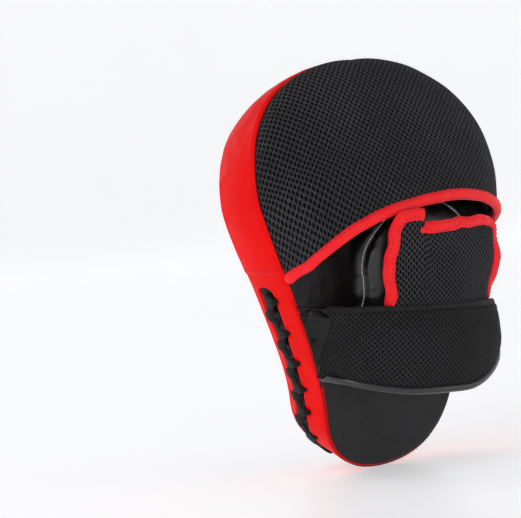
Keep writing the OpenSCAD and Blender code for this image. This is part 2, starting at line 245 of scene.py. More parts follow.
class Shape:
    """Points, faces and texture coordinates gathered for one piece."""

    def __init__(self):
        self.points, self.faces, self.uvs = [], [], []

    def add(self, points, uvs=None):
        start = len(self.points)
        flat = points.reshape(-1, 3)
        self.points.extend(flat.tolist())
        flat_uv = np.zeros((len(flat), 2)) if uvs is None else uvs.reshape(-1, 2)
        self.uvs.extend(flat_uv.tolist())
        return start

    def grid(self, points, uvs=None, wrap=False, flip=False):
        """A sheet of quads over rows and columns of points. Returns the points' numbers."""
        rows, cols = points.shape[:2]
        index = self.add(points, uvs) + np.arange(rows * cols).reshape(rows, cols)
        for r in range(rows - 1):
            for c in range(cols if wrap else cols - 1):
                d = (c + 1) % cols
                quad = [index[r, c], index[r, d], index[r + 1, d], index[r + 1, c]]
                self.faces.append(quad[::-1] if flip else quad)
        return index

    def disc(self, rings, uvs=None, flip=False):
        """Closed rings of points that shrink to a small last ring, which is filled with a fan."""
        index = self.grid(rings, uvs, wrap=True, flip=flip)
        last = index[-1]
        middle = self.add(rings[-1].mean(0)[None], None if uvs is None else uvs[-1].mean(0)[None])
        for i in range(len(last)):
            tri = [last[i], last[(i + 1) % len(last)], middle]
            self.faces.append(tri[::-1] if flip else tri)
        return index

    def tube(self, path, wide, thick, facing, sides, power=1.0, tip=1.0):
        """A tube along path. Its section is wide by thick, with its thin side towards facing.

        power below 1 squares the section, and tip rounds the ends over that share of the width."""
        along = unit(np.gradient(path, axis=0))
        across = unit(np.cross(along, np.broadcast_to(facing, path.shape)))
        normal = np.cross(across, along)
        size = np.ones(len(path))
        if tip:
            path, along, across, normal = (np.pad(v, ((2, 2), (0, 0)), "edge")
                                           for v in (path, along, across, normal))
            wide, thick = (np.pad(v, 2, "edge") if np.ndim(v) else v for v in (wide, thick))
            size = np.concatenate([[0.02, 0.72], size, [0.72, 0.02]])
            push = np.zeros((len(path), 1))
            reach = min(np.max(wide), np.max(thick)) * tip
            push[[0, 1, -2, -1], 0] = np.array([-1, -0.7, 0.7, 1]) * reach
            path = path + along * push
        a = round_turn(sides)
        ca, sa = (np.sign(f(a)) * np.abs(f(a)) ** power for f in (np.cos, np.sin))
        rings = path[:, None] + across[:, None] * ca[:, None] * (wide * size)[:, None, None]
        rings = rings + normal[:, None] * sa[:, None] * (thick * size)[:, None, None]
        uvs = np.stack(np.broadcast_arrays(run_along(path)[:, None], a * np.mean(wide)), -1)
        index = self.grid(rings, uvs, wrap=True, flip=True)
        self.faces.append(index[0].tolist())
        self.faces.append(index[-1][::-1].tolist())

    def make(self, name, material, slot):
        """The finished mesh object, in metres."""
        mesh = bpy.data.meshes.new(name)
        mesh.from_pydata([[v * MM for v in p] for p in self.points], [],
                         [[int(i) for i in f] for f in self.faces])
        layer = mesh.uv_layers.new(name="UVMap")
        corner = np.zeros(len(mesh.loops), np.int32)
        mesh.loops.foreach_get("vertex_index", corner)
        layer.data.foreach_set("uv", (np.array(self.uvs)[corner] * MM).astype(np.float32).ravel())
        mesh.polygons.foreach_set("use_smooth", [True] * len(mesh.polygons))
        mesh.materials.append(material)
        mesh.validate()
        piece = bpy.data.objects.new(name, mesh)
        bpy.context.scene.collection.objects.link(piece)
        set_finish(piece, slot)
        return piece


def stitching(name, thread, rows, pitch, length, radius, lift=0.12):
    """Thread stitches that dip into the surface at both ends. A row is a path and its normals."""
    shape = Shape()
    for path, normals in rows:
        run = run_along(path)
        for k in range(int(run[-1] / pitch)):
            at = pitch * (k + 0.5) + np.linspace(-0.5, 0.5, 5) * length
            p, n = (np.stack([np.interp(at, run, v[:, i]) for i in range(3)], 1)
                    for v in (path, normals))
            p = p + unit(n) * (lift - radius * 1.7 * np.array([1, 0.15, 0, 0.15, 1]))[:, None]
            shape.tube(p, radius, radius, n, 6, tip=0)
    return shape.make(name, thread, "thread")


def arc_uv(grid):
    """Texture coordinates in millimetres, measured along the rows and up the middle column."""
    middle = grid.shape[1] // 2
    across = np.cumsum(np.linalg.norm(np.diff(grid, axis=1), axis=-1), 1)
    across = np.pad(across, ((0, 0), (1, 0)))
    across -= across[:, middle:middle + 1]
    up = run_along(grid[:, middle])[:, None]
    return np.stack([across, np.broadcast_to(up, across.shape)], -1)


def grid_normals(grid):
    """Unit normals of a grid of points, turned the way that its faces look."""
    return unit(np.cross(np.gradient(grid, axis=1), np.gradient(grid, axis=0)))


def raised(grid, relief):
    """A grid of points moved along its normals by relief."""
    return grid + grid_normals(grid) * relief[..., None]


def surface_tree(piece):
    """A search tree over a piece's mesh, in millimetres."""
    return BVHTree.FromPolygons([v.co / MM for v in piece.data.vertices],
                                [tuple(p.vertices) for p in piece.data.polygons])


def laid_on(tree, points, towards, lift):
    """Points moved onto a surface along towards, and the surface's normals there."""
    places, normals = [], []
    ray = Vector(towards)
    for p in points:
        hit, normal, _, _ = tree.ray_cast(Vector(p) - ray * 60, ray)
        if hit is None:
            hit, normal, _, _ = tree.find_nearest(Vector(p))
        if normal.dot(ray) > 0:
            normal = -normal
        places.append(hit + normal * lift)
        normals.append(normal)
    return np.array(places), np.array(normals)


def inflate(piece, held, pressure, cap):
    """A cloth simulation: air fills a sheet that is held at its seams.

    held is 1 at the points that stay, and cap is how far a point may move, in millimetres."""
    group = piece.vertex_groups.new(name="seams")
    for i in np.flatnonzero(held > 0.01):
        group.add([int(i)], float(held[i]), "REPLACE")
    cloth = piece.modifiers.new("cloth", "CLOTH")
    settings = cloth.settings
    settings.quality = 5
    settings.vertex_group_mass = "seams"
    settings.use_pressure = True
    settings.uniform_pressure_force = pressure
    settings.effector_weights.gravity = 0
    cloth.collision_settings.use_collision = False
    scene = bpy.context.scene
    for number in range(1, CLOTH_FRAMES + 1):
        scene.frame_set(number)
    evaluated = piece.evaluated_get(bpy.context.evaluated_depsgraph_get())
    count = len(piece.data.vertices)
    rest, moved = np.zeros(count * 3), np.zeros(count * 3)
    piece.data.vertices.foreach_get("co", rest)
    evaluated.data.vertices.foreach_get("co", moved)
    step = (moved - rest).reshape(-1, 3)
    far = np.linalg.norm(step, axis=1, keepdims=True)
    limit = cap * MM
    step *= np.where(far > 1e-9, limit * np.tanh(far / limit) / np.maximum(far, 1e-9), 0)
    piece.modifiers.remove(cloth)
    piece.vertex_groups.clear()
    piece.data.vertices.foreach_set("co", (rest + step.ravel()).astype(np.float32))
    piece.data.update()
    scene.frame_set(1)


def apply_modifier(piece, kind, **settings):
    modifier = piece.modifiers.new(kind.lower(), kind)
    for key, value in settings.items():
        setattr(modifier, key, value)
    bpy.context.view_layer.objects.active = piece
    bpy.ops.object.modifier_apply(modifier=modifier.name)


def refine(piece):
    apply_modifier(piece, "SUBSURF", levels=1, render_levels=1)


def thicken(piece, thickness):
    """Gives a sheet its thickness, in millimetres, behind the side that it shows."""
    apply_modifier(piece, "SOLIDIFY", thickness=thickness * MM, offset=-1.0)


def sheet(name, grid, material, slot, thickness, uvs=None, flip=False, finer=True):
    """A sheet of cloth or leather over a grid of points."""
    shape = Shape()
    shape.grid(grid, uvs, flip=flip)
    piece = shape.make(name, material, slot)
    if finer:
        refine(piece)
    thicken(piece, thickness)
    return piece


def cushion(name, grid, material, cap, thickness, fineness=1.0):
    """A panel of air mesh over a grid of points, filled with air while its edges stay sewn."""
    shape = Shape()
    index = shape.grid(grid, arc_uv(grid) * fineness)
    piece = shape.make(name, material, "air_mesh")
    held = np.zeros(len(shape.points))
    for line in (index[0], index[-1], index[:, 0], index[:, -1]):
        held[line] = 1
    inflate(piece, held, 4, cap)
    refine(piece)
    thicken(piece, thickness)
    return piece


# ---- materials ----

def srgb(levels):
    """A display colour from 0 to 255 as the shader's linear colour, with its alpha."""
    linear = [(v / 255 / 12.92 if v <= 10 else ((v / 255 + 0.055) / 1.055) ** 2.4) for v in levels]
    return (*linear, 1)


class Paint:
    """A node material in the making."""

    def __init__(self, name, colour, roughness, **sockets):
        self.material = bpy.data.materials.new(name)
        self.material.use_nodes = True
        self.tree = self.material.node_tree
        self.shader = self.tree.nodes["Principled BSDF"]
        self.normal = None
        self.shade(Base_Color=srgb(colour), Roughness=roughness, **sockets)

    def shade(self, **sockets):
        """Sets sockets of the shader, whose names are written with underscores for spaces."""
        for key, value in sockets.items():
            self.put(self.shader.inputs[key.replace("_", " ")], value)

    def put(self, socket, value):
        if isinstance(value, bpy.types.NodeSocket):
            self.tree.links.new(value, socket)
        else:
            socket.default_value = value

    def node(self, kind, inputs, **settings):
        node = self.tree.nodes.new("ShaderNode" + kind)
        for key, value in settings.items():
            setattr(node, key, value)
        for key, value in inputs.items():
            self.put(node.inputs[key], value)
        return node

    def math(self, operation, a, b):
        return self.node("Math", {0: a, 1: b}, operation=operation).outputs[0]

    def vector(self, operation, a, b=(0, 0, 0)):
        node = self.node("VectorMath", {0: a, 1: b}, operation=operation)
        return node.outputs["Value" if operation == "LENGTH" else "Vector"]

    def place(self, size, uv=False):
        """Texture coordinates in units of size millimetres, over the surface or through space."""
        source = self.node("TexCoord", {}).outputs["UV" if uv else "Object"]
        scale = [1 / (v * MM) for v in np.broadcast_to(size, (3,))]
        return self.vector("MULTIPLY", source, scale)

    def noise(self, size, detail=2.0, distortion=0.0, uv=False):
        inputs = {"Vector": self.place(size, uv), "Scale": 1.0, "Detail": detail,
                  "Distortion": distortion}
        return self.node("TexNoise", inputs).outputs["Fac"]

    def cells(self, size, feature="F1"):
        inputs = {"Vector": self.place(size), "Scale": 1.0}
        return self.node("TexVoronoi", inputs, feature=feature).outputs["Distance"]

    def remap(self, value, low, high, to_low=0.0, to_high=1.0):
        inputs = {"Value": value, "From Min": low, "From Max": high, "To Min": to_low,
                  "To Max": to_high}
        return self.node("MapRange", inputs, interpolation_type="SMOOTHSTEP").outputs[0]

    def blend(self, share, a, b):
        """A colour between a and b, each of them display levels or a socket."""
        a, b = (srgb(v) if isinstance(v, tuple) else v for v in (a, b))
        node = self.node("Mix", {}, data_type="RGBA")
        for index, value in ((0, share), (6, a), (7, b)):
            self.put(node.inputs[index], value)
        return node.outputs[2]

    def bump(self, height, depth, strength):
        """Adds relief of the given depth in millimetres."""
        node = self.node("Bump", {"Height": height, "Distance": depth * MM, "Strength": strength})
        if self.normal is not None:
            self.put(node.inputs["Normal"], self.normal)
        self.normal = node.outputs[0]
        self.shade(Normal=self.normal)


def leather(name, colour, light, roughness, grain=0.8, depth=0.06, crease=0.25, **sockets):
    """Coated synthetic leather: a pebbled grain, soft creases and an uneven polish."""
    paint = Paint(name, colour, roughness, **sockets)
    tone = paint.remap(paint.noise(38, 3), 0.3, 0.7)
    paint.shade(Base_Color=paint.blend(tone, colour, light))
    scuffs = paint.noise((9, 9, 14), 5, 0.6)
    paint.shade(Roughness=paint.remap(scuffs, 0.3, 0.75, roughness - 0.06, roughness + 0.1))
    paint.bump(paint.noise((11, 11, 16), 4, 0.9), crease, 0.55)
    paint.bump(paint.cells(grain, "SMOOTH_F1"), depth, 0.5)
    paint.bump(paint.noise(0.35, 2), depth * 0.6, 0.4)
    return paint.material


def air_mesh(name, yarn, light, hole, size=0.26):
    """Spacer mesh: staggered oval holes between twisted yarns, over a dark layer. The holes are painted
    near black, partly for that layer and partly as painted shade in them.
    """
    pitch, rows, oval = 4.35, 4.4, (1.0, 0.72, 1.0)
    paint = Paint(name, yarn, 0.8, Sheen_Weight=0.03, Sheen_Roughness=0.5, Specular_IOR_Level=0.12)
    wander = paint.node("TexNoise", {"Vector": paint.place(26, True), "Scale": 1.0}).outputs["Color"]
    sway = paint.vector("MULTIPLY", paint.vector("SUBTRACT", wander, (0.5, 0.5, 0.5)), (0.5, 0.4, 0))
    lattice = paint.vector("ADD", paint.place((pitch, rows, 1000), True), sway)

    def holes(offset):
        cell = paint.vector("FRACTION", paint.vector("ADD", lattice, (offset, offset, 0)))
        centred = paint.vector("SUBTRACT", cell, (0.5, 0.5, 0))
        return paint.vector("LENGTH", paint.vector("MULTIPLY", centred, oval))

    away = paint.math("MINIMUM", holes(0.0), holes(0.5))
    solid = paint.remap(away, size - 0.09, size)
    weave = paint.noise((0.55, 0.9, 0.55), 3, 0.4, True)
    # The yarn is painted lighter where the weave bump stands higher: a painted highlight on raised
    # yarn, with painted shade between.
    thread = paint.remap(weave, 0.35, 0.68)
    cloth = paint.blend(thread, yarn, light)
    dust = paint.remap(paint.noise(45, 3), 0.35, 0.7, 0.75, 1.1)
    # The holes' colour is partly the dark layer under them and partly painted shade in the recesses.
    paint.shade(Base_Color=paint.blend(paint.math("MULTIPLY", dust, solid), hole, cloth))
    paint.bump(solid, 0.75, 0.9)
    paint.bump(weave, 0.25, 0.7)
    return paint.material


def tape(name, colour, light, roughness=0.5):
    """Woven binding tape with fine ribs across it."""
    paint = Paint(name, colour, roughness, Sheen_Weight=0.05, Specular_IOR_Level=0.25)
    along = paint.place((0.85, 1000, 1000), True)
    ribs = paint.node("TexWave", {"Vector": along, "Scale": 0.5, "Distortion": 0.6,
                                  "Detail": 1.0, "Detail Scale": 3.0}).outputs["Fac"]
    tone = paint.remap(paint.noise(7, 3, 0, True), 0.25, 0.75)
    paint.shade(Base_Color=paint.blend(tone, colour, light))
    paint.bump(ribs, 0.12, 0.5)
    paint.bump(paint.noise((1.3, 1.3, 1.3), 3), 0.14, 0.5)
    return paint.material


def braid(name, colour, light, pitch=2.4, roughness=0.62, depth=0.3):
    """A braided or twisted cord, with its strands crossing along its length. Its crests are painted
    lighter and its grooves darker, as painted highlight and shade.
    """
    paint = Paint(name, colour, roughness, Sheen_Weight=0.02, Specular_IOR_Level=0.2)
    place = paint.place((pitch, pitch, 1000), True)

    def strands(angle):
        turned = paint.node("Mapping", {"Vector": place, "Rotation": (0, 0, math.radians(angle))})
        return paint.node("TexWave", {"Vector": turned.outputs[0], "Scale": 0.55}).outputs["Fac"]

    relief = paint.math("MAXIMUM", strands(35), strands(-35))
    # Colour follows the relief: painted highlight on the strands' crests, painted shade in the grooves
    # between them.
    paint.shade(Base_Color=paint.blend(relief, colour, light))
    paint.bump(relief, depth, 0.8)
    paint.bump(paint.noise(0.3, 2), 0.08, 0.6)
    return paint.material


def hook_and_loop(name, colour, light, size):
    """Hook or loop tape: a dense pile of tiny loops."""
    paint = Paint(name, colour, 0.85, Sheen_Weight=0.15, Sheen_Roughness=0.45)
    pile = paint.cells(size)
    paint.shade(Base_Color=paint.blend(paint.remap(pile, 0.1, 0.6), light, colour))
    paint.bump(pile, 0.4, 0.8)
    paint.bump(paint.noise(0.4, 3), 0.2, 0.7)
    return paint.material


def printed_ink(name, colour, worn):
    """Screen-printed ink over grained leather, thinning slightly with use."""
    paint = Paint(name, colour, 0.46)
    wear = paint.remap(paint.noise(3.2, 6, 0.4), 0.66, 0.78)
    paint.shade(Base_Color=paint.blend(wear, colour, worn))
    paint.bump(paint.cells(0.8, "SMOOTH_F1"), 0.05, 0.5)
    paint.bump(paint.noise((11, 11, 16), 4, 0.9), 0.2, 0.4)
    return paint.material


def pale_floor(name):
    paint = Paint(name, (240, 240, 241), 0.42, Specular_IOR_Level=0.35)
    tone = paint.blend(paint.noise(400, 2), (242, 242, 244), (247, 247, 247))
    paint.shade(Base_Color=tone)
    metres_away = paint.vector("LENGTH", paint.place(1000))
    paint.shade(Emission_Color=tone,
                Emission_Strength=paint.remap(metres_away, 0.3, 5.0, 0.375, 0.50))
    return paint.material


red_cover = leather("red_leather", (236, 2, 2), (243, 7, 7), 0.5, depth=0.045, crease=0.3,
                    Specular_IOR_Level=0.1)
face_cover = leather("black_leather_face", (9, 8, 9), (14, 13, 14), 0.33, crease=0.55,
                     Specular_IOR_Level=0.2)
back_cover = leather("black_leather_back", (26, 26, 28), (32, 32, 34), 0.5,
                     Specular_IOR_Level=0.28)
satin_cover = leather("black_leather_satin", (7, 7, 6), (14, 14, 12), 0.37, grain=1.0,
                      crease=0.9, Specular_IOR_Level=0.3)
gloss_cover = leather("black_leather_gloss", (8, 8, 8), (14, 14, 14), 0.38, grain=1.1,
                      depth=0.05, crease=0.9, Coat_Weight=0.2, Coat_Roughness=0.3)
piping_cover = leather("black_piping", (15, 15, 17), (22, 22, 25), 0.27, grain=0.7,
                       crease=0.3, Coat_Weight=0.35, Coat_Roughness=0.16)
mesh_cloth = air_mesh("black_air_mesh", (36, 36, 38), (78, 78, 82), (1, 1, 1))
close_mesh = air_mesh("black_close_mesh", (26, 26, 27), (60, 60, 62), (7, 7, 7), 0.24)
lining_cloth = air_mesh("black_lining", (20, 20, 21), (32, 32, 34), (8, 8, 8))
red_tape = tape("red_binding_tape", (252, 18, 28), (255, 30, 40))
black_tape = tape("black_binding_tape", (14, 14, 15), (30, 30, 32), roughness=0.7)
lace_cord = braid("black_lace_braid", (2, 2, 2), (15, 15, 16))
white_thread = braid("white_thread_twist", (205, 206, 218), (240, 240, 250), 0.9, 0.5, 0.12)
black_thread = braid("black_thread_twist", (8, 8, 9), (26, 26, 28), 0.9, 0.5, 0.12)
red_thread = braid("red_thread_twist", (190, 10, 20), (226, 20, 32), 0.9, 0.5, 0.12)
hook_pile = hook_and_loop("black_hook_tape", (14, 14, 15), (40, 40, 42), 0.9)
loop_pile = hook_and_loop("black_loop_tape", (12, 12, 13), (36, 36, 38), 0.6)
white_ink = printed_ink("white_ink", (228, 228, 226), (176, 174, 172))


# ---- pieces of the pad ----

def dress(piece, body, *nodes):
    """A finished piece rides on a body and stands for CAD nodes."""
    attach(piece, body)
    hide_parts(*nodes)
    return piece


def rings_in(inset, count, columns, thumb_inset=None):
    """Rings of places (x, s) from the pad's outline to its middle, and how far in each one is."""
    p = np.arange(columns) * 2 / columns
    if thumb_inset is not None:
        thumb = smooth((p - 0.02) / 0.06) * (1 - smooth((p - 0.94) / 0.06))
        inset = mix(inset, thumb_inset, thumb)[:, None]
    edge = outline(p) - outline_normal(p) * inset
    middle = np.array([0, MID_S + 12])
    r = 1 - (np.linspace(0, 1, count) ** 1.15) * 0.985
    places = mix(middle, edge[None], r[:, None, None])
    deep = np.linalg.norm(edge - middle, axis=1)[None] * (1 - r[:, None])
    return places, deep, np.broadcast_to(r[:, None], deep.shape)


def striking_face():
    """The crowned face: leather drawn over foam, puckered where it is sewn to the gusset."""
    places, deep, r = rings_in(0.6, 36, 150)
    x, s = places[..., 0], places[..., 1]
    flat = on_pad(x, s, -PAD_THICK)
    dome = FACE_DOME * (1 - r ** 2.6)
    pucker = rough(flat * (1, 0, 1), 7, 1) * 0.5 * np.exp(-deep / 7) * smooth(deep / 2)
    rise = 1.3 * (1 - np.exp(-deep / 1.4)) - 1.0
    soft = rough(flat, 34, 2) * 0.5 * smooth(deep / 12)
    shape = Shape()
    index = shape.disc(on_pad(x, s, -PAD_THICK - dome - rise - pucker - soft), places)
    piece = shape.make("striking_face_cover", face_cover, "black_cover")
    held = np.zeros(len(shape.points))
    held[index[:2].ravel()] = 1
    inflate(piece, held, 6, 1.6)
    refine(piece)
    thicken(piece, SKIN)
    return dress(piece, "pad", "striking_face", "strike_foam", "shock_core", "backing_foam")


def target(face):
    """The printed ring and disc, laid over the finished face."""
    tree = surface_tree(face)
    a = round_turn(120)
    for node, r_in, r_out, steps in (("target_ring", RING_IN, RING_OUT, 8),
                                     ("target_disc", 0.6, DISC_R, 12)):
        r = column(r_out, r_in, steps)
        flat = on_pad(r * np.sin(a), MID_S + TARGET_S + r * np.cos(a), -PAD_THICK)
        places, _ = laid_on(tree, flat.reshape(-1, 3), (0, 1, 0), 0.16)
        rings = places.reshape(flat.shape)
        shape = Shape()
        if node == "target_ring":
            shape.grid(rings, wrap=True, flip=True)
        else:
            shape.disc(rings, flip=True)
        piece = shape.make(node + "_print", white_ink, "print")
        thicken(piece, 0.12)
        dress(piece, "pad", node)


def back_panel():
    """The matte panel on the palm side, softly crowned, turned in at its seam."""
    places, deep, _ = rings_in(-1.0, 30, 150, 0.35)
    x, s = places[..., 0], places[..., 1]
    flat = on_pad(x, s, 0)
    pucker = rough(flat * (1, 0, 1), 8, 3) * 0.3 * np.exp(-deep / 6) * smooth(deep / 2)
    h = 1.75 * (1 - np.exp(-deep / 0.9)) - 1.4 + pucker + 0.12 * rough(flat, 26, 4)
    shape = Shape()
    shape.disc(on_pad(x, s, h), places, flip=True)
    piece = shape.make("back_cover", back_cover, "black_cover")
    thicken(piece, SKIN)
    dress(piece, "pad", "back_panel")


def slit_half(p):
    """Half the width of the laced slit, which closes in a round end."""
    full = SLIT_HALF + SLIT_WORN * smooth((p - 0.3) / 0.12)
    past = np.clip(1 + (p - SLIT_TOP_Q) * RUN_MM / full, 0, 1)
    return full * np.sqrt(1 - past ** 6)


def gusset_panel(name, node, p1, p2, h1, h2, lift=0.0, lip=False):
    """A panel of the gusset between two outline parameters and two heights.

    Its sewn edges turn in. A lip has one free edge, at h2 beside the slit, that is folded over and
    drawn down by its eyelets."""
    length = run_along(outline(np.linspace(p1, p2, 60)))[-1]
    columns, rows = max(24, int(length / (0.9 if lip else 1.4))), max(12, int(abs(h2 - h1) / 1.5))
    p = row(p1, p2, columns)
    side = 1 if h1 > h2 else -1
    middle = -(REAR_HOLES + FRONT_HOLES) / 2
    far = middle + side * (slit_half(p) + 0.03) if lip else h2
    h = mix(h1, far, 0.5 - 0.5 * np.cos(math.pi * column(0, 1, rows)))
    p, h, far = np.broadcast_arrays(p, h, far)
    sewn = np.minimum(-h, h + PAD_THICK)
    flat = gusset_point(p, h, 0)
    out = -1.3 * np.exp(-sewn / 0.9) + 0.3 * bump_at(sewn, 2.2, 2.2)
    out = out + 0.28 * rough(flat, (9, 5, 9), 5) * smooth(sewn / 3) + 0.35 * rough(flat, 30, 6)
    run = (p - p1) / (p2 - p1) * length
    out = out + lift - 1.1 * np.exp(-np.minimum(run, length - run) / 0.8)
    if lip:
        free = np.abs(h - far)
        open_here = np.minimum(slit_half(p) / SLIT_HALF, 1)
        out = out + (0.7 * bump_at(free, 1.8, 3.2) - 1.6 * np.exp(-free / 0.7)) * open_here
        hole = middle + side * (SLIT_HALF + LIP_EDGE + 1.8)
        for t in range(0 if side > 0 else 1, CROSSINGS + 1, 2):
            near = (p - lace_q(t)) * RUN_MM
            out = out - 1.8 * np.exp(-(np.hypot(near, h - hole) / 1.9) ** 2)
            h = h + side * 0.8 * np.exp(-(near / 4) ** 2) * bump_at(free, 0, 4)
    dress(sheet(name, gusset_point(p, h, out), red_cover, "red_cover", SKIN, flip=side < 0), "pad",
          node)


def gusset():
    end = LACE_END_Q + 0.003
    top = CROSS_Q + 0.004
    gusset_panel("gusset_upper_panel", "gusset_upper", CROSS_Q - 0.004, 2 - CROSS_Q + 0.004,
                 0, -PAD_THICK, lift=0.7)
    gusset_panel("gusset_little_finger_panel", "gusset_little_finger_side", 2 - top,
                 2 + LACE_END_Q, 0, -PAD_THICK)
    gusset_panel("gusset_rear_lip_panel", "gusset_rear_lip", end, top,
                 0, -REAR_HOLES - LIP_EDGE, lip=True)
    gusset_panel("gusset_front_lip_panel", "gusset_front_lip", end, top,
                 -PAD_THICK, -FRONT_HOLES + LIP_EDGE, lip=True)


def lace_q(t):
    """The outline parameter of the lace's turn number t."""
    return mix(LACE_TOP_Q, LACE_END_Q + 0.02, t / CROSSINGS)


def lacing():
    """The slit's tongue, and the cord that zigzags over it from eyelet to eyelet."""
    p, h = np.broadcast_arrays(row(LACE_END_Q + 0.006, CROSS_Q - 0.006, 110),
                               column(-REAR_HOLES + 1, -FRONT_HOLES - 1, 12))
    relief = 0.35 * rough(gusset_point(p, h, -SKIN - GAP), 7, 8)
    tongue = sheet("lacing_tongue", gusset_point(p, h, -SKIN - GAP + relief), satin_cover,
                   "black_cover", SKIN, finer=False)
    dress(tongue, "pad", "lace_tongue")

    t = np.linspace(-0.62, CROSSINGS + 0.03, CROSSINGS * 36)
    turn = np.cos(math.pi * t)
    across = 0.5 - 0.64 * np.sign(turn) * np.abs(turn) ** 4.5
    to_hole = np.abs(t - np.round(t))
    q = lace_q(t - 0.4 * np.sin(2 * math.pi * t) / (2 * math.pi))
    out = LACE_R - 0.6 - 1.2 * np.sin(math.pi * t) ** 2 - 3.4 * np.exp(-(to_hole / 0.06) ** 2)
    out = out - 2.4 * smooth((-t - 0.3) / 0.3)
    path = gusset_point(q, -mix(REAR_HOLES, FRONT_HOLES, across), out)
    path = path + 0.4 * np.stack([rough(path, 6, k) for k in (11, 12, 13)], -1)
    slim = 1 - 0.66 * np.exp(-(to_hole / 0.17) ** 2)
    shape = Shape()
    shape.tube(path, (LACE_R + 1.2) * slim, LACE_R * 0.5 * slim, gusset_out(q), 12)
    dress(shape.make("lace_cord", lace_cord, "lace_cord"), "pad", "lace")


def seam_stitching():
    """Black stitches show where the gusset meets the back panel, and red ones at the cross seams."""
    shape = Shape()
    slant = np.array([0, 0.25, 0.6, 0.85, 1])
    lift = 0.28 - np.array([0.5, 0.05, 0, 0.05, 0.5])
    for p in np.arange(LACE_END_Q, CROSS_Q - 0.045, 2.1 / RUN_MM):
        facing = unit(gusset_out(p) + (0, 0.8, 0))
        over = gusset_point(p + 0.0022 * slant, mix(-1.1, 0.1, slant), mix(0.1, -0.7, slant))
        shape.tube(over + facing * lift[:, None], 0.24, 0.24, facing, 6, tip=0)
    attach(shape.make("back_seam_stitching", black_thread, "thread"), "pad")

    h = np.linspace(-2.5, -PAD_THICK + 2.5, 60)
    rows = [(gusset_point(q, h, 0.75), gusset_out(np.full(60, q)))
            for q in (CROSS_Q + 0.008, 2 - CROSS_Q - 0.008)]
    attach(stitching("cross_seam_stitching", red_thread, rows, 3.0, 2.1, 0.28, 0.1), "pad")


# ---- finger hood ----

def hood_end(j, q0, inset):
    q = mix(q0, 1, 1 - (1 - j) ** 1.5)
    return outline(q) - outline_normal(q) * inset


def hood_point(u, j, inner):
    """The hood's surface, as in the CAD model, shrunk inwards by inner."""
    u, j = np.broadcast_arrays(u, j)
    thumb, little = (hood_end(j, q, 1 + inner) for q in (MOUTH_Q_THUMB, MOUTH_Q_LITTLE))
    k = (u + 1) / 2
    w = mix(little[..., 0], thumb[..., 0], k)
    full = np.maximum(0, 1 - np.abs(u) ** 2.5)
    crest = (MOUTH_ARCH - MOUTH_LEAN * (1 - k)) * full ** 0.65 * (1 - j) ** 1.6
    s = mix(little[..., 1], thumb[..., 1], k) + crest
    rise = np.maximum(0, 1 - np.abs(u) ** 3) ** 0.55 * (1 - j) ** 1.35
    return on_pad(u * w, s, GAP + np.maximum(0, HOOD_HEIGHT * rise - inner * smooth(rise * 3)))


def hood_grid(inner, columns, rows, top):
    """Rows from the mouth to the crown, columns from the thumb side to the little finger."""
    u = np.sin(math.pi / 2 * row(1, -1, columns + 1))
    return hood_point(u, column(0, top, rows + 1), inner)


def finger_hood():
    grid = hood_grid(0, 72, 46, 0.99)
    rows, cols = grid.shape[:2]
    edge = np.minimum(np.arange(cols), np.arange(cols)[::-1])[None] / 6
    top = np.arange(rows)[::-1][:, None] / 5
    grid = raised(grid, 0.7 * rough(grid, 26, 21) * smooth(edge) * smooth(top))
    piece = cushion("finger_hood_mesh", grid, mesh_cloth, 1.2, MESH_T)
    dress(piece, "pad", "finger_hood")

    grid = hood_grid(HOOD_T, 48, 30, 0.95)
    lining = sheet("finger_hood_lining", grid[:, ::-1], lining_cloth, "lining",
                   HOOD_T - MESH_T - GAP, arc_uv(grid)[:, ::-1], finer=False)
    dress(lining, "pad", "hood_foam", "hood_lining")


def hood_binding():
    """Folded tape round the hood's mouth, with a row of stitches along it."""
    u = np.sin(math.pi / 2 * np.linspace(-0.985, 0.985, 150))
    rim = hood_point(u, 0, MESH_T)
    along = unit(np.gradient(rim, axis=0))
    facing = turned(unit(np.cross(hood_point(u, 0.03, MESH_T) - rim, along)), 1, 1)
    down = turned(unit(np.cross(along, facing)), 2, -1)
    sway = 0.35 * rough(rim, 13, 31)[:, None]
    ends = smooth((1 - np.abs(u)) * 14)[:, None]
    proud = 0.9 + 2.2 * bump_at(u, -0.86, 0.3) + 0.3 * rough(rim, 17, 32)
    path = rim + down * (2.6 + sway) * ends + facing * proud[:, None]
    shape = Shape()
    shape.tube(path, 3.7, 2.9, facing, 20, power=0.8)
    dress(shape.make("hood_mouth_binding", red_tape, "red_binding"), "pad", "hood_binding")
    line = path + down * -2.2 + facing * 2.45
    rows = [(line[6:-6], facing[6:-6])]
    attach(stitching("hood_binding_stitching", red_thread, rows, 3.4, 2.4, 0.3), "pad")


# ---- palm ball ----

def ball_seam(z):
    """How far the ball's gore seams lie from its middle, at height z in ball radii."""
    return GORE_HALF * (1 - np.clip((z + 0.2) / 1.2, 0, 1) ** 2.65)


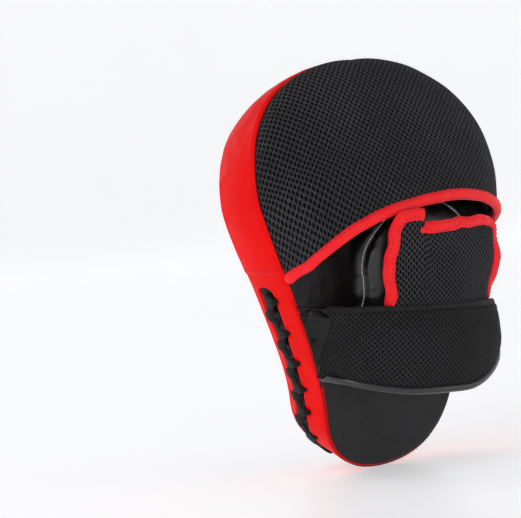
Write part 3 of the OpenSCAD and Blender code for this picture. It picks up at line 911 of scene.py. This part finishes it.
def palm_ball():
    """A stuffed, squarish half ball of glossy leather in three gores, with white seams."""
    a = round_turn(120)
    r = (1 - np.linspace(0, 1, 34) ** 1.5 * 0.985)[:, None]
    square = (np.abs(np.cos(a)) ** 3 + np.abs(np.sin(a)) ** 3) ** (-1 / 3)
    x, z = r * np.cos(a) * square, r * np.sin(a) * square
    y = BALL_DEPTH * np.sqrt(np.maximum(0, 1 - r * r)) + 0 * x
    points = np.stack([BALL_X + BALL_W * x * (1 - 0.1 * z), y, BALL_Z + BALL_R * z], -1)
    foot = np.sqrt((BACK_R + GAP) ** 2 - points[..., 2] ** 2) - BACK_R
    points[..., 1] = np.maximum(points[..., 1], foot + 0.2)
    shape = Shape()
    index = shape.disc(points, flip=True)
    piece = shape.make("palm_ball", gloss_cover, "gloss_cover")

    def from_seam(places):
        return np.abs(np.abs(places[:, 0] - BALL_X) - ball_seam((places[:, 2] - BALL_Z) / BALL_R))

    held = 0.6 * np.exp(-(from_seam(np.array(shape.points)) / 2.5) ** 2)
    held[index[:3].ravel()] = 1
    inflate(piece, held, 5, 1.5)
    refine(piece)

    co = np.array([v.co for v in piece.data.vertices]) / MM
    normals = np.array([v.normal for v in piece.data.vertices])
    gore = from_seam(co)
    valley = 1.3 * np.exp(-(gore / 1.6) ** 2)
    folds = np.exp(-gore / 9) * 0.75 * np.maximum(0, rough(co, (16, 9, 4.5), 41))
    creases = 0.45 * rough(co, (7, 7, 15), 42) + 0.8 * rough(co, 24, 43)
    co = co + normals * (folds + creases - valley)[:, None]
    piece.data.vertices.foreach_set("co", (co * MM).ravel())
    piece.data.update()
    dress(piece, "pad", "palm_ball_cover", "palm_ball_foam")

    tree = surface_tree(piece)
    z = np.linspace(-0.6, 0.86, 90)
    rows = []
    for side in (-1, 1):
        flat = np.stack([BALL_X + side * ball_seam(z), 0 * z + 5, BALL_Z + BALL_R * z], -1)
        rows.append(laid_on(tree, flat, (0, -1, 0), 0.1))
    dress(stitching("palm_ball_stitches", white_thread, rows, 2.5, 2.3, 0.34, 0.28), "pad",
          "palm_ball_stitching")


# ---- wrist strap ----

def arch(a, off):
    """The strap's arch at angle a in degrees, off from the middle of its thickness."""
    off = off + ARCH_SWELL * smooth((a - 95) / 45)
    a = np.radians(a)
    return ARCH_X + (ARCH_A + off) * np.cos(a), (ARCH_B + off) * np.sin(a)


def strap_top(a):
    return STRAP_TOP_Z - STRAP_DROP * (1 - np.cos(np.radians(a))) / 2


def strap_bottom(a):
    return (strap_top(a) - STRAP_H + ROOT_NARROW * (1 - smooth(a / 75))
            + TIP_NARROW * smooth((a - 100) / 62))


def plump(a):
    return mix(ROOT_T / STRAP_T, 1, smooth((a - STRAP_START) / 22))


def strap_point(a, v, off, trim):
    """The point at arch angle a, fraction v of the height and offset off, in half thicknesses."""
    a, v, off = np.broadcast_arrays(a, v, off)
    x, y = arch(a, off * STRAP_T / 2 * plump(a))
    edge = trim + CORNER_R * np.clip((a - STRAP_END + CORNER_R) / CORNER_R, 0, 1) ** 2
    return np.stack([x, y, mix(strap_bottom(a) + edge, strap_top(a) - edge, v)], -1)


def strap_out(path):
    """The directions out of the strap's arch at the points of a path."""
    return unit(path * (1, 1, 0) - (ARCH_X, 0, 0))


def strap_start(v):
    """The sewn end slants: its lower corner reaches further round to the gusset's seam."""
    return mix(-8.0, STRAP_START + 1.5, v)


def root_blend(piece, *nodes):
    """A piece of the strap: its placement is baked into its mesh, and the CAD nodes that it stands for
    are hidden.
    """
    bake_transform(piece)
    if nodes:
        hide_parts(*nodes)


def strap_side(sign, columns, rows, bulge):
    """One side of the padded strap, domed between its edges and closed at its free end."""
    v = 0.5 - 0.5 * np.cos(math.pi * column(0, 1, rows))
    a = mix(strap_start(v), STRAP_END - 0.6, row(0, 1, columns))
    crown = np.maximum(0, 1 - np.abs(2 * v - 1) ** bulge) ** 0.6
    tip = np.sqrt(np.clip(1 - np.clip((a - STRAP_END + 5) / 4.6, 0, 1) ** 2, 0, 1))
    grid = strap_point(a, v, sign * crown * mix(0.12, 1, tip), EDGE_TRIM)
    grid[..., 0] += ROOT_LEAN * (1 - v) ** 1.5 * (1 - smooth((a - strap_start(v)) / 16))
    return grid, a, v


def wrist_strap():
    grid, a, v = strap_side(1, 120, 34, 3.0)
    inside = smooth(np.minimum(v, 1 - v) * 9)
    gathers = 1.7 * np.exp(-np.maximum(a - 4, 0) / 15) * rough(grid * (0.4, 0.4, 1), 5.5, 51)
    waves = 0.9 * rough(grid, (34, 34, 22), 52) + 0.3 * rough(grid, 11, 53)
    ridge = 0.9 * np.exp(-((v - 0.93) / 0.035) ** 2)
    grid = raised(grid, (gathers + waves) * inside + ridge)
    piece = cushion("wrist_strap_mesh", grid, close_mesh, 1.2, 1.4, FINE)
    root_blend(piece, "wrist_strap", "strap_foam")

    grid = strap_side(-1, 90, 22, 5.0)[0][:, ::-1]
    backing = sheet("wrist_strap_lining", raised(grid, 0.3 * rough(grid, 16, 54)), lining_cloth,
                    "lining", SKIN)
    root_blend(backing, "strap_backing")


def strap_edge_path(v):
    """Along an edge of the strap from its sewn end, round the corner to the middle of its free end."""
    a = np.linspace(strap_start(v) + 0.5, STRAP_END, 130)
    edge = strap_point(a, v, 0, EDGE_TRIM)
    round_it = strap_point(STRAP_END, np.linspace(v, 0.5, 12)[1:], 0, EDGE_TRIM)
    path = relaxed(np.concatenate([edge, round_it]), 3)
    return path, strap_out(path)


def strap_edges():
    """The tape along the strap's top, the piping along its bottom, and the stitches beside them."""
    path, outward = strap_edge_path(1)
    path[:, 2] += 0.5 * rough(path, 15, 61)
    shape = Shape()
    shape.tube(path, 2.4, 1.9, outward, 16, power=0.85)
    root_blend(shape.make("strap_top_binding_tape", black_tape, "black_cover"), "strap_top_binding")
    rows = [((path + outward * 1.75 + (0, 0, -1.0))[4:-14], outward[4:-14])]
    root_blend(stitching("strap_top_stitching", black_thread, rows, 3.2, 2.2, 0.26))

    path, outward = strap_edge_path(0)
    sway = 0.5 * rough(path, 20, 62)[:, None]
    shape = Shape()
    shape.tube(path + (0, 0, -0.4) + outward * (0.5 + sway), 2.5, 2.3, outward, 18)
    root_blend(shape.make("strap_bottom_piping_roll", piping_cover, "black_cover"),
               "strap_bottom_piping")
    rows = [((path + outward * 2.2 + (0, 0, 2.7))[4:-14], outward[4:-14])]
    root_blend(stitching("strap_bottom_stitching", black_thread, rows, 3.2, 2.2, 0.24, -0.2))


def hook_tape():
    """Hook tape sewn inside the strap's free end."""
    a, v = np.broadcast_arrays(row(STRAP_END - 5, HOOK_FROM, 30), column(0.2, 0.8, 14))
    x, y = arch(a, -STRAP_T / 2 - GAP - TAPE_T)
    grid = np.stack([x, y, mix(strap_bottom(a), strap_top(a), v)], -1)
    piece = sheet("hook_tape_patch", raised(grid, 0.15 * rough(grid, 5, 71)), hook_pile,
                  "hook_loop", TAPE_T, finer=False)
    dress(piece, "strap", "hook_tape")


def tab_point(a, z, off):
    """The loop tab's surface: from the little-finger seam it rises to lie under the strap's end."""
    edge = half_outline(mix(0.23, 0.37, np.clip((z + 82) / 50, 0, 1)))[..., 0]
    x, y = arch(a, off)
    root_x = 4 - edge - (off - TAB_OFF)
    root_y = np.sqrt((BACK_R + 2 * GAP) ** 2 - z * z) - BACK_R
    k = smooth((TAB_ROOT - a) / 14)
    return np.stack([mix(root_x, x, k), mix(root_y, y, k), z], -1)


def loop_tab():
    """The tab that comes round from the little-finger side, its loop tape and its stitches."""
    middle = (strap_top(STRAP_END) + strap_bottom(STRAP_END)) / 2
    for name, off, a1, a2, half, thick, paint, slot, node in (
            ("loop_tab_panel", TAB_OFF, TAB_ROOT, TAB_END, TAB_HALF, TAB_T, back_cover,
             "black_cover", "loop_tab"),
            ("loop_tape_patch", TAB_OFF + GAP / 2 + TAPE_T, 160, TAB_END + 2, TAB_HALF - 3, TAPE_T,
             loop_pile, "hook_loop", "loop_tape")):
        v = column(-1, 1, 26)
        a = mix(a1, a2, row(0, 1, 52)) + 0 * v
        z = middle + v * half * (1 - 0.12 * np.clip((a2 + 8 - a) / 8, 0, 1) ** 2)
        grid = tab_point(a, z, off)[:, ::-1]
        piece = sheet(name, raised(grid, 0.22 * rough(grid, 13, 72)), paint, slot, thick)
        dress(piece, "pad", node)
    a = np.linspace(TAB_ROOT - 18, TAB_END + 3.5, 60)
    lines = [tab_point(a, middle + side * (TAB_HALF - 1.3) + 0 * a, TAB_OFF + 0.1)
             for side in (-1, 1)]
    rows = [(line, strap_out(line)) for line in lines]
    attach(stitching("loop_tab_stitching", black_thread, rows, 3.1, 2.2, 0.24), "pad")


def strap_anchor():
    """A gathered glossy panel from the thumb-side seam to the strap's sewn end, folded at its top."""
    v = column(0, 1, 56)
    w = row(0, 1, 40)
    e = half_outline(mix(0.262, 0.408, v))
    seam = on_pad(e[..., 0] - 1.0, e[..., 1], -0.8)
    root = strap_point(strap_start(v) + 5.0, mix(0.02, 0.99, v), -0.4, 1.0)
    root[..., 0] += ROOT_LEAN * (1 - v) ** 1.5
    grid = mix(seam, root, w[..., None])[:, ::-1]
    w = w[:, ::-1]
    lift = 2.2 * np.sin(math.pi * w) * mix(0.35, 1, v)
    fold = 1.7 * np.sin(12 * v + 2.2 * w + 0.9 * np.sin(5 * v)) * w ** 1.3 * smooth((1 - v) * 8 + 0.4)
    crease = 1.6 * rough(grid, (11, 9, 4.5), 81) * np.sin(math.pi * np.clip(w * 1.1, 0, 1))
    ridge = 1.7 * np.exp(-((v - 0.945 + 0.03 * np.sin(9 * w)) / 0.03) ** 2)
    dip = 1.2 * np.exp(-((v - 0.87) / 0.03) ** 2)
    piece = sheet("strap_anchor_panel", raised(grid, lift + fold + crease + ridge - dip),
                  satin_cover, "black_cover", SKIN)
    root_blend(piece, "strap_anchor")


def palm_lining():
    """Glossy leather over the back panel between the hood and the strap, creased around the ball."""
    q = column(0.36, 0.56, 60)
    k = row(-1, 1, 90)
    e = half_outline(q)
    x = (e[..., 0] - 2.2) * k
    s = e[..., 1] + 0 * x
    from_ball = np.hypot(x - BALL_X, s - MID_S - BALL_Z) - BALL_W
    h = 0.75 + 0.5 * rough(np.stack([x, 0 * x, s], -1), (13, 9, 8), 85)
    h = h + 1.6 * np.exp(-np.abs(from_ball) / 5) * (1 - np.abs(k) ** 8)
    h = h * smooth((1 - np.abs(k)) * 14) * smooth((q - 0.355) * 60) + 0.35
    piece = sheet("palm_lining_panel", on_pad(x, s, h), satin_cover, "gloss_cover", 0.5, flip=True)
    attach(piece, "pad")


# ---- back-of-hand flap ----

def flap_top(x):
    tab = 35 - 14 * np.clip((x - 17) / 12, 0, 1) ** 2
    low = mix(mix(26, 27, smooth(-x / 24)), 35, smooth((x - 2) / 5))
    return np.where(x > 7, tab, low - 9 * np.clip((-x - 50) / 12, 0, 1) ** 2)


def flap_foot(x):
    return strap_top(np.degrees(np.arccos((x - ARCH_X) / ARCH_A))) + FLAP_LIFT


def flared(x, z):
    """Where the flap's wider thumb-side foot moves a point that would lie at x."""
    wider = (1 - smooth(z / 16)) * mix(0.6, 1, smooth((z + 26) / 22))
    return x + FLAP_FLARE * wider * np.clip(x / FLAP_X1, 0, 1.1)


def flap_surface(x, z, t):
    """The flap's surface at x and z, moved out by t."""
    x, z, t = np.broadcast_arrays(x, z, t)
    base = ARCH_B * np.sqrt(1 - ((x - ARCH_X) / ARCH_A) ** 2)
    rise = 30 - 6 * smooth((-x - 38) / 24)
    crown = FLAP_Y - np.where(x < FLAP_MID, 0.0055, 0.004) * (x - FLAP_MID) ** 2
    return np.stack([x, mix(base, crown, smooth((z - flap_foot(x)) / rise)) + t, z], -1)


def flap_blend(piece, *nodes):
    """A piece of the flap: its placement is baked into its mesh, and the CAD nodes that it stands for
    are hidden.
    """
    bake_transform(piece)
    if nodes:
        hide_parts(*nodes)


def flap_side(sign, t, columns, rows):
    """One side of the flap, domed by t, and how far inside its edges each point is, from 0 to 1."""
    x = row(FLAP_X1 - 2.0, FLAP_X2 + 2.0, columns)
    foot = flap_foot(flared(x, -25)) - FLAP_LIFT - 1.5
    z = mix(foot, flap_top(x) - 2.0, column(0, 1, rows))
    x = x + 0 * z
    edge = np.minimum(np.minimum(x - FLAP_X2, FLAP_X1 - x), flap_top(x) - z)
    inside = smooth(edge / 13) ** 0.8 * smooth((z - foot) / 10)
    return flap_surface(flared(x, z), z, sign * t * mix(0.2, 1, inside)), inside


def hand_flap():
    grid, inside = flap_side(1, 3.4, 84, 52)
    waves = 1.9 * rough(grid, (26, 26, 20), 91) + 0.5 * rough(grid, (9, 9, 13), 92)
    piece = cushion("hand_flap_mesh", raised(grid, waves * inside), mesh_cloth, 1.0, 1.5, FINE)
    flap_blend(piece, "hand_flap", "flap_foam")

    grid = flap_side(-1, 2.8, 60, 34)[0][:, ::-1]
    lining = sheet("hand_flap_lining", raised(grid, 0.3 * rough(grid, 15, 93)), lining_cloth,
                   "lining", SKIN)
    flap_blend(lining, "flap_lining")


def flap_binding(name, corners, seed, node):
    """A length of folded tape along the flap's edge, through corner points (x, z) of that edge."""
    edge = np.array(corners, float)
    run = run_along(edge)
    at = np.linspace(0, run[-1], 130)
    edge = relaxed(np.stack([np.interp(at, run, edge[:, i]) for i in (0, 1)], 1), 50)
    along = unit(np.gradient(edge, axis=0))
    inward = np.stack([-along[:, 1], along[:, 0]], 1)
    here = np.pad(edge, ((0, 0), (0, 1)))
    x, z = (edge + inward * (3.7 + 1.1 * rough(here, 9, seed))[:, None]).T
    sewn = 1 - smooth((z - flap_foot(x) + FLAP_LIFT) / 8)
    path = flap_surface(x, z, 0.9 + 1.0 * rough(here, 10, seed + 1) - 3.6 * sewn)
    ahead = flap_surface(x + inward[:, 0], z + inward[:, 1], 0.9)
    tangent = unit(np.gradient(path, axis=0))
    facing = turned(unit(np.cross(tangent, ahead - path)), 1, 1)
    across = unit(np.cross(facing, tangent))
    shape = Shape()
    shape.tube(path, 3.9 + 0.35 * rough(here, 8, seed + 2), 2.5, facing, 22, power=0.72, tip=0.25)
    flap_blend(shape.make(name, red_tape, "red_binding"), node)
    rows = [((path + across * side + facing * 2.3)[3:-3], facing[3:-3]) for side in (-2.1, 2.1)]
    flap_blend(stitching(name + "_stitching", red_thread, rows, 3.0, 1.9, 0.28))


def flap_bindings():
    """The two lengths of tape: up the thumb side and over the tab, then across the top and down."""
    z = np.linspace(flap_foot(FLAP_X1 + FLAP_FLARE) - FLAP_LIFT - 2, 17, 20)
    up = [(flared(FLAP_X1, k), k) for k in z]
    over = [(x, flap_top(x)) for x in np.linspace(FLAP_X1 - 0.5, 7.1, 16)] + [(4.0, 34.5)]
    flap_binding("flap_binding_tape_thumb_side", up + over, 95, "flap_binding_thumb_side")
    over = [(x, flap_top(x)) for x in np.linspace(3.0, FLAP_X2 + 0.5, 30)]
    over = [(7.6, over[0][1] - 0.4)] + over
    foot = flap_foot(FLAP_X2 + 4) - FLAP_LIFT - 2
    flap_binding("flap_binding_tape_top", over + [(FLAP_X2, 8), (FLAP_X2 + 1, foot)], 97,
                 "flap_binding_top")


# ---- camera, light and floor ----

def camera():
    """Behind the mitt's thumb side, slightly above it, with a long lens and a slight tilt."""
    azimuth, elevation, roll, distance = math.radians(141.6), math.radians(3.3), 4.75, 1.264
    focal, width = 135.3, 36.0
    aside, down = 0.0660, 0.0026    # how far right of and below the view's middle the mitt's origin is
    back = Vector((math.sin(azimuth) * math.cos(elevation),
                   -math.cos(azimuth) * math.cos(elevation), math.sin(elevation)))
    data = bpy.data.cameras.new("camera")
    data.lens, data.sensor_width = focal, width
    data.clip_start, data.clip_end = 0.05, 50
    eye = bpy.data.objects.new("camera", data)
    bpy.context.scene.collection.objects.link(eye)
    level = (-back).to_track_quat("-Z", "Y")
    tilt = Quaternion((0, 0, 1), math.radians(-roll))
    aim = Vector((aside, -down, -1)).rotation_difference(Vector((0, 0, -1)))
    eye.rotation_mode = "QUATERNION"
    eye.rotation_quaternion = level @ tilt @ aim
    eye.location = back * distance
    bpy.context.scene.camera = eye


def area_light(name, place, target, size, power):
    data = bpy.data.lights.new(name, "AREA")
    data.shape = "DISK"
    data.size, data.energy = size, power
    light = bpy.data.objects.new(name, data)
    bpy.context.scene.collection.objects.link(light)
    light.location = place
    light.rotation_mode = "QUATERNION"
    light.rotation_quaternion = (Vector(target) - Vector(place)).to_track_quat("-Z", "Y")


def studio():
    world = bpy.data.worlds.new("studio")
    bpy.context.scene.world = world
    world.use_nodes = True
    world.node_tree.nodes["Background"].inputs[0].default_value = (0.96, 0.97, 1, 1)
    world.node_tree.nodes["Background"].inputs[1].default_value = 0.32
    area_light("key", (1.7, 0.6, 1.4), (0, 0, 0), 0.9, 8)
    area_light("fill", (-1.2, 1.5, 0.6), (0, 0, 0), 1.2, 2)
    area_light("front", (0.9, -1.7, 1.5), (0, 0, 0), 0.9, 6)
    area_light("side", (1.6, 0.85, 0.3), (0, 0.03, 0), 0.5, 1.2)
    area_light("sweep", (0, 0, 2.6), (0, 0, 0), 3.0, 3.5)

    low = cad_box[0].z / MM - 0.6
    around = round_turn(96)[None]
    reach = np.concatenate([np.linspace(SWEEP_END, FLAT_END, 30), [2000, 1000, 300]])[:, None]
    rise = SWEEP_RISE * np.clip((reach - FLAT_END) / (SWEEP_END - FLAT_END), 0, 1) ** 2
    shape = Shape()
    shape.disc(np.stack([reach * np.cos(around), reach * np.sin(around), low + rise + 0 * around], -1))
    floor = shape.make("floor", pale_floor("pale_floor"), "print")
    del floor["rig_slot"]
    bpy.context.scene.view_settings.view_transform = "Standard"


camera()
studio()
target(striking_face())
back_panel()
gusset()
lacing()
seam_stitching()
finger_hood()
hood_binding()
palm_lining()
palm_ball()
wrist_strap()
strap_edges()
hook_tape()
loop_tab()
strap_anchor()
hand_flap()
flap_bindings()
